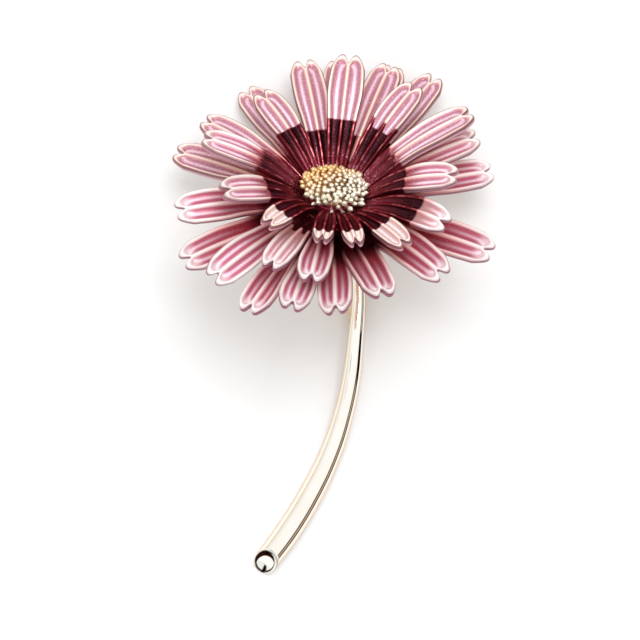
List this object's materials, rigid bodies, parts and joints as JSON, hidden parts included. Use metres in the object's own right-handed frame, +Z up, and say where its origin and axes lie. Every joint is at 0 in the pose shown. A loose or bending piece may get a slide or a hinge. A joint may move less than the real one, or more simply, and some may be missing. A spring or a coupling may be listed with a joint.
{
  "type": "daisy brooch",
  "caption": "Large three-dimensional daisy brooch with nested rings of notched enamelled petals, a gold stamen dome and a curved polished stem, with a plain needle at the back.",
  "frame": {"origin": "middle of the brooch's box, on the surface it lies on", "axes": "+X to the right, +Y from the stem's end to the flower, +Z up, away from the surface"},
  "size_m": [0.0554, 0.0901, 0.0393],
  "materials": {
    "enamel": "translucent pink to burgundy enamel in shallow channels between pale gold ridges",
    "stamen_gold": "satin gold plate",
    "polished_gold": "mirror-polished pale gold plate",
    "pin_gold": "plain gold plate"
  },
  "bodies": {
    "root": {"petals_outer": "enamel", "petals_middle": "enamel", "petals_inner": "enamel", "stamen_dome": "stamen_gold", "stem": "polished_gold", "pin_back": "pin_gold"}
  },
  "joints": []
}
